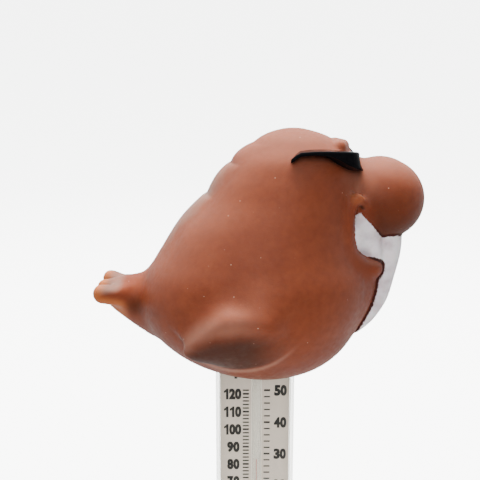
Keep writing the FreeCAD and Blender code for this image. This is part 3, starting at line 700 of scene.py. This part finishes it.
def make_ticks(depth):
    """Fahrenheit ticks every two degrees on the left, Celsius ones on the right."""
    marks = []
    for fahrenheit in range(32, 124, 2):
        marks.append(tick(FAHRENHEIT_TICK, fahrenheit, level_of(to_celsius(fahrenheit))))
    for celsius in range(0, 52, 2):
        marks.append(tick(CELSIUS_TICK, celsius, level_of(celsius)))
    return flat_quads("scale_ticks", marks, depth)


def tick(span, degrees, up):
    """Rectangle of one tick, thicker at every ten degrees."""
    thick = MAJOR_TICK if degrees % 10 == 0 else MINOR_TICK
    return span[0], span[1], up - thick / 2, up + thick / 2


def glyph(characters):
    """Outline points from 0 to 1 each way and faces of one figure, or of a short sign."""
    if characters == "1":
        return np.array(FIGURE_ONE), [tuple(range(len(FIGURE_ONE)))]
    text = bpy.data.curves.new("glyph", "FONT")
    text.body = characters
    text.offset = 0.04
    text.resolution_u = 6
    carrier = bpy.data.objects.new("glyph", text)
    bpy.context.collection.objects.link(carrier)
    bpy.context.view_layer.update()
    mesh = bpy.data.meshes.new_from_object(carrier.evaluated_get(bpy.context.evaluated_depsgraph_get()))
    bpy.data.objects.remove(carrier)
    points = np.array([vertex.co[:2] for vertex in mesh.vertices])
    points = (points - points.min(axis=0)) / (points.max(axis=0) - points.min(axis=0))
    return points, [tuple(face.vertices) for face in mesh.polygons]


def make_word(name, signs, middle, height, depth):
    """Bold flat ink from (characters, left edge, width), in millimetres, about the height middle."""
    corners = []
    faces = []
    for characters, left, width in signs:
        points, outline = glyph(characters)
        for across, up in ((-BOLD, -BOLD), (BOLD, -BOLD), (BOLD, BOLD), (-BOLD, BOLD)):
            first = len(corners)
            for x, y in points:
                corners.append((left + across + x * width, depth, middle + up + (y - 0.5) * height))
            faces.extend(tuple(first + number for number in face) for face in outline)
    return add_mesh(name, (np.array(corners) * MM).tolist(), faces, smooth=False)


def make_number(name, number, left, middle, depth):
    """Bold figures of one number, each in its own place."""
    pitch = CLOSE_PITCH if number > 99 else FIGURE_PITCH
    signs = [(figure, left + pitch * place, FIGURE_WIDTH) for place, figure in enumerate(str(number))]
    return make_word(name, signs, middle - FIGURE_DROP, FIGURE_HEIGHT, depth)


def make_scale_print():
    """Ticks, numbers and unit signs, each a flat piece just in front of the card."""
    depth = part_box("scale_card")[0].y / MM - INK_PROUD
    pieces = [make_ticks(depth)]
    for fahrenheit in range(40, 130, 10):
        left = FAHRENHEIT_LEFT + (0 if fahrenheit > 99 else TWO_FIGURE_INDENT)
        up = level_of(to_celsius(fahrenheit))
        pieces.append(make_number("fahrenheit_%d" % fahrenheit, fahrenheit, left, up, depth))
    for celsius in range(0, 60, 10):
        pieces.append(make_number("celsius_%d" % celsius, celsius, CELSIUS_LEFT, level_of(celsius), depth))
    header = level_of(50) + HEADER_LIFT
    for name, sign, left in HEADERS:
        pieces.append(make_word(name, [(sign, left, HEADER_WIDTH)], header, HEADER_HEIGHT, depth))
    return pieces


def make_backing_band():
    """White enamel stripe behind the capillary."""
    card_low, card_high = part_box("scale_card")
    depth = card_low.y / MM - INK_PROUD / 2
    top = card_high.z / MM - STRIPE_INSET
    strip = (GLASS_AXIS - STRIPE_HALF, GLASS_AXIS + STRIPE_HALF, NOTCH_TOP, top)
    return flat_quads("enamel_stripe", [strip], depth)


def turned(name, outline, centre, sides):
    """Closed surface turned about an upright axis from (radius, height) points, in metres."""
    points = []
    faces = []
    for radius, up in outline:
        for side in range(sides):
            turn = 2 * math.pi * side / sides
            points.append((centre.x + radius * math.cos(turn), centre.y + radius * math.sin(turn), up))
    for ring in range(len(outline) - 1):
        for side in range(sides):
            here = ring * sides + side
            beside = ring * sides + (side + 1) % sides
            faces.append((here, beside, beside + sides, here + sides))
    faces.append(tuple(reversed(range(sides))))
    faces.append(tuple(range(len(points) - sides, len(points))))
    return add_mesh(name, points, faces)


def arc(radius, middle, degrees):
    """(radius, height) points of a circle about a height on the axis, at angles above level."""
    turns = [math.radians(angle) for angle in degrees]
    return [(radius * math.cos(turn), middle + radius * math.sin(turn)) for turn in turns]


def make_thread():
    """Red spirit from the bulb to its top."""
    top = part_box("column_top")[0].z
    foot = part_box("bulb_liquid")[0].z + MM
    low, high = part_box("column_thread")
    centre = (low + high) / 2
    outline = [(SPIRIT_RADIUS * MM, foot + (top - foot) * ring / THREAD_RINGS)
               for ring in range(THREAD_RINGS + 1)]
    obj = turned("spirit_thread", outline, centre, sides=12)
    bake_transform(obj)
    return obj


def make_meniscus():
    """Rounded top of the spirit column."""
    low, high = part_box("column_top")
    centre = (low + high) / 2
    radius = SPIRIT_RADIUS * MM
    outline = [(radius, low.z)] + arc(radius, high.z - radius, range(0, 91, 15))
    return turned("spirit_meniscus", outline, centre, sides=12)


def make_capillary():
    """Outside of the glass: bulb, shoulder and stem, with a rounded top."""
    low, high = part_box("glass_tube")
    centre = (low + high) / 2
    bulb = (high.x - low.x) / 2
    stem = GLASS_RADIUS * MM
    outline = arc(bulb, low.z + bulb, range(-85, 0, 12))
    outline += [(of_bulb * bulb + of_stem * stem, low.z + up * MM) for up, of_bulb, of_stem in GLASS_SHOULDER]
    outline += arc(stem, high.z - stem, range(0, 90, 15))
    return turned("capillary_glass", outline, centre, sides=48)


# ---- materials ----


class Paint:
    """A node material with a Principled shader and short ways to feed it."""

    def __init__(self, name, **sockets):
        self.material = bpy.data.materials.new(name)
        self.material.use_nodes = True
        self.tree = self.material.node_tree
        self.shader = self.tree.nodes["Principled BSDF"]
        for socket, value in sockets.items():
            self.shader.inputs[socket.replace("_", " ")].default_value = value
        self.places = self.node("ShaderNodeTexCoord").outputs["Object"]

    def node(self, kind, **inputs):
        made = self.tree.nodes.new(kind)
        for socket, value in inputs.items():
            self.feed(made.inputs[socket], value)
        return made

    def feed(self, socket, value):
        if isinstance(value, bpy.types.NodeSocket):
            self.tree.links.new(value, socket)
        else:
            socket.default_value = value

    def feed_all(self, made, *values):
        for number, value in enumerate(values):
            self.feed(made.inputs[number], value)

    def noise(self, scale, detail=2.0, roughness=0.5):
        made = self.node("ShaderNodeTexNoise", Vector=self.places, Scale=scale, Detail=detail,
                         Roughness=roughness)
        return made.outputs["Fac"]

    def spots(self, scale):
        made = self.node("ShaderNodeTexVoronoi", Vector=self.places, Scale=scale)
        return made.outputs["Distance"]

    def stored(self, name):
        made = self.node("ShaderNodeAttribute")
        made.attribute_name = name
        return made.outputs["Fac"]

    def remap(self, value, low, high, to_low=0.0, to_high=1.0):
        made = self.node("ShaderNodeMapRange")
        self.feed_all(made, value, low, high, to_low, to_high)
        made.clamp = True
        return made.outputs["Result"]

    def calculate(self, operation, *values):
        made = self.node("ShaderNodeMath")
        made.operation = operation
        self.feed_all(made, *values)
        return made.outputs[0]

    def sum(self, first, second):
        return self.calculate("ADD", first, second)

    def times(self, first, second):
        return self.calculate("MULTIPLY", first, second)

    def mix(self, factor, first, second):
        made = self.node("ShaderNodeMix")
        made.data_type = "RGBA"
        self.feed(made.inputs[0], factor)
        self.feed(made.inputs[6], first)
        self.feed(made.inputs[7], second)
        return made.outputs[2]

    def layer(self, factor, under, over):
        made = self.node("ShaderNodeMixShader")
        self.feed_all(made, factor, under, over)
        return made.outputs[0]

    def colour(self, value):
        self.feed(self.shader.inputs["Base Color"], value)
        return self

    def bump(self, height, strength, distance):
        made = self.node("ShaderNodeBump", Height=height, Strength=strength, Distance=distance)
        self.feed(self.shader.inputs["Normal"], made.outputs["Normal"])
        return self

    def roughness(self, value):
        self.feed(self.shader.inputs["Roughness"], value)
        return self


BROWN = (0.172, 0.038, 0.016, 1)
BROWN_WARM = (0.215, 0.050, 0.020, 1)
BROWN_DEEP = (0.125, 0.027, 0.012, 1)
# Colour of the painted shade.
SHADE_BROWN = (0.044, 0.012, 0.005, 1)
# Colour of the painted glow of light through thin vinyl.
GLOW_ORANGE = (0.46, 0.13, 0.035, 1)
GREY = (0.21, 0.145, 0.115, 1)
# Colour of the painted highlight.
HIGHLIGHT_PALE = (0.40, 0.19, 0.13, 1)
TUSK_WHITE = (0.82, 0.76, 0.78, 1)
TUSK_SHADE = (0.56, 0.46, 0.49, 1)
SEAM = (0.045, 0.010, 0.007, 1)
DUST = (0.75, 0.48, 0.36, 1)


def vinyl_paint():
    """Satin brown vinyl, grey airbrushing, painted highlight, painted glow and painted shade, white tusks
    with a ragged dark edge, fine dust specks.
    """
    paint = Paint("walrus vinyl", Subsurface_Weight=0.15, Subsurface_Scale=0.003, Specular_IOR_Level=0.22)
    paint.shader.inputs["Subsurface Radius"].default_value = (1.0, 0.28, 0.12)
    cloudy = paint.remap(paint.noise(55.0, 3.0), 0.35, 0.68)
    mottled = paint.remap(paint.noise(420.0, 4.0, 0.6), 0.3, 0.7)
    brown = paint.mix(cloudy, BROWN, BROWN_WARM)
    brown = paint.mix(paint.times(mottled, 0.45), brown, BROWN_DEEP)
    grey = paint.sum(paint.stored("grey_spray"), paint.remap(paint.noise(160.0, 3.0), 0.3, 0.7, -0.12, 0.12))
    skin = paint.mix(paint.remap(grey, 0.25, 1.0, 0.0, 0.85), brown, GREY)
    # Painted highlight over the skin.
    skin = paint.mix(paint.stored("pale_spray"), skin, HIGHLIGHT_PALE)
    # Painted glow over the skin.
    skin = paint.mix(paint.stored("orange_glow"), skin, GLOW_ORANGE)
    # Painted shade over the skin.
    skin = paint.mix(paint.times(paint.stored("dark_spray"), 0.92), skin, SHADE_BROWN)
    specks = paint.remap(paint.spots(400.0), 0.075, 0.045)
    chosen = paint.remap(paint.noise(900.0, 0.0), 0.58, 0.62)
    skin = paint.mix(paint.times(paint.times(specks, chosen), 0.6), skin, DUST)
    ragged = paint.sum(paint.stored("white_over_brown"),
                       paint.remap(paint.noise(1500.0, 4.0, 0.7), 0.25, 0.75, -0.38, 0.38))
    stained = paint.mix(paint.remap(paint.noise(240.0, 4.0), 0.42, 0.72), TUSK_WHITE, TUSK_SHADE)
    width = paint.stored("seam_width")
    inner = paint.remap(paint.sum(ragged, width), -0.12, 0.06)
    line = paint.mix(paint.times(inner, paint.remap(width, 0.1, 0.5)), skin, SEAM)
    paint.colour(paint.mix(paint.remap(ragged, 0.12, 0.3), line, stained))
    satin = paint.remap(paint.noise(700.0, 3.0), 0.3, 0.7, 0.42, 0.54)
    paint.roughness(satin)
    pits = paint.sum(paint.noise(2600.0, 2.0), paint.times(paint.noise(380.0, 2.0), 1.6))
    paint.bump(pits, 0.22, 0.00012)
    return paint.material


def gloss_black():
    paint = Paint("glossy black", Roughness=0.12, Specular_IOR_Level=0.015)
    paint.colour(paint.mix(paint.noise(800.0, 2.0), (0.0022, 0.0022, 0.0026, 1), (0.006, 0.006, 0.007, 1)))
    paint.bump(paint.noise(180.0, 1.0), 0.05, 0.0002)
    return paint.material


HAZE_SPREAD = 0.4          # share by which drawn streaks make a clear solid's haze less and more
SIDE_WALL = (0.0112, 0.0118)    # m along X from the middle, where the case's side wall begins and is full
STREAK_SCALE = 1100.0      # noise cells to the metre across the stem
STREAK_SHAPE = (1.0, 1.0, 0.03)    # far fewer up the stem, so that the streaks run along it
CLEAR_INDEX = 1.35         # refractive index, for the surface's reflections only


def see_through(name, tint, haze, gloss, side_haze=0.0):
    """Clear solid as a transparent layer under a glossy skin, so that what is inside stays sharp.

    haze is the milky layer's colour and, last, its strength. side_haze is the extra milkiness of the
    case's narrow side walls.
    """
    paint = Paint(name)
    paint.tree.nodes.remove(paint.shader)
    drawn = paint.node("ShaderNodeMapping", Vector=paint.places, Scale=STREAK_SHAPE)
    streaks = paint.node("ShaderNodeTexNoise", Vector=drawn.outputs[0], Scale=STREAK_SCALE, Detail=3.0)
    streaks = paint.remap(streaks.outputs["Fac"], 0.3, 0.8, haze[3] * (1 - HAZE_SPREAD),
                          haze[3] * (1 + HAZE_SPREAD))
    across = paint.node("ShaderNodeSeparateXYZ", Vector=paint.places).outputs["X"]
    side = paint.remap(paint.calculate("ABSOLUTE", across), *SIDE_WALL, 0.0, side_haze)
    clear = paint.node("ShaderNodeBsdfTransparent", Color=tint)
    milky = paint.node("ShaderNodeBsdfDiffuse", Color=haze)
    body = paint.layer(paint.sum(streaks, side), clear.outputs[0], milky.outputs[0])
    inside = paint.node("ShaderNodeNewGeometry").outputs["Backfacing"]
    fresnel = paint.node("ShaderNodeFresnel", IOR=CLEAR_INDEX).outputs[0]
    shine = paint.node("ShaderNodeBsdfGlossy", Roughness=gloss)
    skin = paint.layer(paint.times(fresnel, paint.calculate("SUBTRACT", 1.0, inside)), body, shine.outputs[0])
    paint.feed(paint.tree.nodes["Material Output"].inputs["Surface"], skin)
    return paint.material


def card_paint():
    paint = Paint("printed card", Roughness=0.62)
    grain = paint.remap(paint.noise(900.0, 4.0, 0.65), 0.3, 0.7)
    cloudy = paint.remap(paint.noise(90.0, 3.0), 0.3, 0.7)
    base = paint.mix(cloudy, (0.68, 0.585, 0.505, 1), (0.75, 0.645, 0.56, 1))
    paint.colour(paint.mix(paint.times(grain, 0.35), base, (0.56, 0.50, 0.45, 1)))
    paint.bump(paint.noise(2400.0, 2.0), 0.1, 0.00004)
    return paint.material


def enamel_paint():
    paint = Paint("white enamel", Roughness=0.4)
    paint.colour(paint.mix(paint.remap(paint.noise(300.0, 3.0), 0.3, 0.7), (0.97, 0.92, 0.85, 1),
                           (0.93, 0.88, 0.81, 1)))
    return paint.material


def ink_paint():
    paint = Paint("black ink", Roughness=0.55)
    paint.colour(paint.mix(paint.remap(paint.noise(3200.0, 3.0, 0.7), 0.35, 0.75), (0.008, 0.006, 0.005, 1),
                           (0.035, 0.028, 0.024, 1)))
    return paint.material


def moulded(name, light, dark, rough, bump_scale=900.0):
    paint = Paint(name, Roughness=rough)
    paint.colour(paint.mix(paint.remap(paint.noise(220.0, 3.0), 0.3, 0.7), light, dark))
    paint.bump(paint.noise(bump_scale, 3.0), 0.15, 0.00008)
    return paint.material


def spirit_paint():
    paint = Paint("red spirit", Roughness=0.15, Specular_IOR_Level=0.6)
    paint.colour(paint.mix(paint.noise(400.0, 2.0), (0.58, 0.15, 0.12, 1), (0.66, 0.19, 0.15, 1)))
    return paint.material


def steel_paint():
    paint = Paint("zinc plated steel", Metallic=1.0)
    paint.colour(paint.mix(paint.remap(paint.spots(420.0), 0.1, 0.6), (0.46, 0.46, 0.47, 1),
                           (0.62, 0.61, 0.58, 1)))
    paint.roughness(paint.remap(paint.noise(700.0, 3.0), 0.3, 0.7, 0.28, 0.45))
    return paint.material


def dress(obj, material):
    obj.data.materials.clear()
    obj.data.materials.append(material)


# ---- the scene ----


def dress_frame():
    """Dress the CAD nodes that stay; returns the spirit's material, which other pieces share."""
    white = moulded("white moulding", (0.72, 0.70, 0.66, 1), (0.64, 0.62, 0.58, 1), 0.38)
    spirit = spirit_paint()
    looks = {
        "case_tube": see_through("clear case", (0.985, 0.985, 0.972, 1), (0.80, 0.80, 0.76, 0.02),
                                 0.05, 0.36),
        "case_cap": white,
        "cap_gasket": moulded("silicone", (0.62, 0.62, 0.60, 1), (0.55, 0.55, 0.53, 1), 0.6),
        "scale_card": card_paint(),
        "bulb_liquid": spirit,
        "lower_tube_clip": white,
        "upper_tube_clip": white,
        "ballast_weight": steel_paint(),
        "bulb_cushion": moulded("foam", (0.70, 0.66, 0.56, 1), (0.55, 0.51, 0.42, 1), 0.9, 1800.0),
        "socket_cup": moulded("brown moulding", (0.16, 0.055, 0.030, 1), (0.11, 0.036, 0.020, 1), 0.5),
    }
    for node, material in looks.items():
        dress(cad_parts[node], material)
    return spirit


def add_pieces(spirit):
    """Detailed pieces that replace CAD nodes, and the scale's print."""
    skin = make_skin()
    dress(skin, vinyl_paint())
    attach(skin, "figure")
    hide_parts("figure_shell")
    glasses = make_sunglasses()
    dress(glasses, gloss_black())
    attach(glasses, "figure")
    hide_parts("sunglasses")
    thread = make_thread()
    dress(thread, spirit)
    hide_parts("column_thread")
    meniscus = make_meniscus()
    dress(meniscus, spirit)
    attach(meniscus, "liquid")
    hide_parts("column_top")
    capillary = make_capillary()
    dress(capillary, see_through("capillary glass", (0.985, 0.985, 0.97, 1), (0.98, 0.94, 0.88, 0.25), 0.03))
    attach(capillary, "stem")
    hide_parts("glass_tube")
    ink = ink_paint()
    for piece in make_scale_print():
        dress(piece, ink)
        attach(piece, "stem")
    band = make_backing_band()
    dress(band, enamel_paint())
    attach(band, "stem")


FLOOR_GAP = 0.0005         # m between the object and the floor
FLOOR_FLAT = 1.2           # m, reach of the flat part of the floor
FLOOR_SWEEP = 1.2          # m, radius of the sweep from floor to wall
WALL_TOP = 3.5             # m
FLOOR_GLOW = 5.5           # makes the floor and wall read as near white
WORLD_BEHIND = (-0.7, 0.6, 0.25, 1.2)    # from and to direction, from and to strength
WORLD_ABOVE = (0.1, 1.0, 0.0, 0.6)
FIGURE_MIDDLE = (0.0, 0.0, 0.14)         # m, what the lamps aim at
STEM_MIDDLE = (0.0, 0.0, 0.08)
# Lamps: name, place, aim, width, height (m) and power (W).
LAMPS = [
    ("front", (-0.12, -0.9, 0.52), FIGURE_MIDDLE, 0.7, 0.7, 6.7),
    ("low", (0.02, -0.16, -0.05), STEM_MIDDLE, 0.16, 0.10, 0.40),
    ("overhead", (-0.02, 0.26, 0.93), FIGURE_MIDDLE, 0.6, 0.5, 33.0),
]
CAMERA_ELEVATION = 12.5    # degrees above level
CAMERA_DISTANCE = 0.235    # m from its target
CAMERA_TARGET = (-0.0049, 0.0, 0.1458)
CAMERA_LENS = 55.9         # mm on a 36 mm wide sensor


def add_floor():
    """Pale round floor that sweeps up into a wall far behind the object on every side."""
    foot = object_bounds()[0][2] - FLOOR_GAP
    profile = [(0.0, 0.0), (FLOOR_FLAT, 0.0)]
    for step in range(1, 13):
        turn = math.radians(90 * step / 12)
        profile.append((FLOOR_FLAT + FLOOR_SWEEP * math.sin(turn), FLOOR_SWEEP * (1 - math.cos(turn))))
    profile.append((FLOOR_FLAT + FLOOR_SWEEP, WALL_TOP))
    sides = 96
    corners = [(0.0, 0.0, foot)]
    faces = []
    for reach, rise in profile[1:]:
        for side in range(sides):
            turn = 2 * math.pi * side / sides
            corners.append((reach * math.cos(turn), reach * math.sin(turn), foot + rise))
    for side in range(sides):
        faces.append((0, 1 + side, 1 + (side + 1) % sides))
    for ring in range(len(profile) - 2):
        for side in range(sides):
            here = 1 + ring * sides + side
            beside = 1 + ring * sides + (side + 1) % sides
            faces.append((here, here + sides, beside + sides, beside))
    floor = add_mesh("floor", corners, faces)
    paint = Paint("pale floor", Roughness=0.8, Emission_Strength=FLOOR_GLOW)
    paint.shader.inputs["Emission Color"].default_value = (0.97, 0.98, 0.97, 1)
    paint.colour((0.80, 0.80, 0.79, 1))
    dress(floor, paint.material)
    floor.visible_diffuse = False
    floor.visible_glossy = False
    floor.visible_shadow = False


def add_lamp(name, place, aim, width, height, power):
    """Soft rectangular lamp that lights the object and shows neither to the camera nor in gloss."""
    light = bpy.data.lights.new(name, "AREA")
    light.shape = "RECTANGLE"
    light.size = width
    light.size_y = height
    light.energy = power
    lamp = bpy.data.objects.new(name, light)
    lamp.location = place
    lamp.rotation_euler = (Vector(aim) - Vector(place)).to_track_quat("-Z", "Y").to_euler()
    lamp.visible_glossy = False
    lamp.visible_camera = False
    bpy.context.collection.objects.link(lamp)


def add_lights():
    """Bright surroundings behind and above the object, a dim camera side, and the soft lamps."""
    world = bpy.data.worlds.new("studio")
    world.use_nodes = True
    tree = world.node_tree
    backdrop = tree.nodes["Background"]
    backdrop.inputs["Color"].default_value = (0.96, 0.97, 0.96, 1)
    heading = tree.nodes.new("ShaderNodeTexCoord")
    split = tree.nodes.new("ShaderNodeSeparateXYZ")
    behind = tree.nodes.new("ShaderNodeMapRange")
    above = tree.nodes.new("ShaderNodeMapRange")
    total = tree.nodes.new("ShaderNodeMath")
    for node, ends in ((behind, WORLD_BEHIND), (above, WORLD_ABOVE)):
        for number, value in enumerate(ends, start=1):
            node.inputs[number].default_value = value
        node.interpolation_type = "SMOOTHSTEP"
    tree.links.new(heading.outputs["Generated"], split.inputs[0])
    tree.links.new(split.outputs["Y"], behind.inputs[0])
    tree.links.new(split.outputs["Z"], above.inputs[0])
    tree.links.new(behind.outputs[0], total.inputs[0])
    tree.links.new(above.outputs[0], total.inputs[1])
    tree.links.new(total.outputs[0], backdrop.inputs["Strength"])
    bpy.context.scene.world = world
    for lamp in LAMPS:
        add_lamp(*lamp)


def add_camera():
    """Camera at the photograph's viewing angle: a little above the figure, looking along +Y."""
    elevation = math.radians(CAMERA_ELEVATION)
    back = Vector((0.0, -math.cos(elevation), math.sin(elevation)))
    camera = bpy.data.cameras.new("photo_view")
    camera.sensor_width = 36.0
    camera.lens = CAMERA_LENS
    camera.clip_start = 0.01
    camera.clip_end = 20.0
    holder = bpy.data.objects.new("photo_view", camera)
    holder.location = Vector(CAMERA_TARGET) + back * CAMERA_DISTANCE
    holder.rotation_euler = (-back).to_track_quat("-Z", "Y").to_euler()
    bpy.context.collection.objects.link(holder)
    bpy.context.scene.camera = holder


def main():
    spirit = dress_frame()
    add_pieces(spirit)
    add_floor()
    add_lights()
    add_camera()


main()
